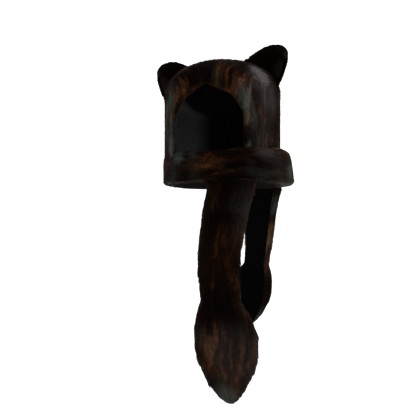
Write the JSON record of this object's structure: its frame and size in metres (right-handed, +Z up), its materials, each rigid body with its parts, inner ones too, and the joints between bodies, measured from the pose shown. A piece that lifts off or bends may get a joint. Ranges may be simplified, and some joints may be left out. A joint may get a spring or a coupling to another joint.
{
  "type": "animal hood",
  "caption": "Round fur hood with a pointed face opening, cup ears, a padded collar band and two long paddle-ended tails, lined in plain cloth.",
  "frame": {"origin": "crown seat: the middle of the lining's inside top, where the top of a head holds the hood up", "axes": "+Z up out of the crown, -Y the way the wearer faces, +X to the wearer's left"},
  "size_m": [0.3067, 0.4056, 0.6585],
  "materials": {
    "fur": "short dense faux fur, dark brown mottled with tan and grey-green",
    "tail_fur": "short faux fur laid along the tail, dark brown turning tan and grey at the tip",
    "lining_cloth": "plain smooth black woven lining",
    "ear_cloth": "very dark brown short plush"
  },
  "bodies": {
    "root": {"hood_shell": "fur", "hood_lining": "lining_cloth", "collar": "fur", "collar_lining": "lining_cloth", "ear_left": "fur", "ear_right": "fur", "ear_lining_left": "ear_cloth", "ear_lining_right": "ear_cloth", "front_tail": "tail_fur", "front_tail_lining": "lining_cloth", "back_tail": "tail_fur", "back_tail_lining": "lining_cloth"}
  },
  "joints": []
}
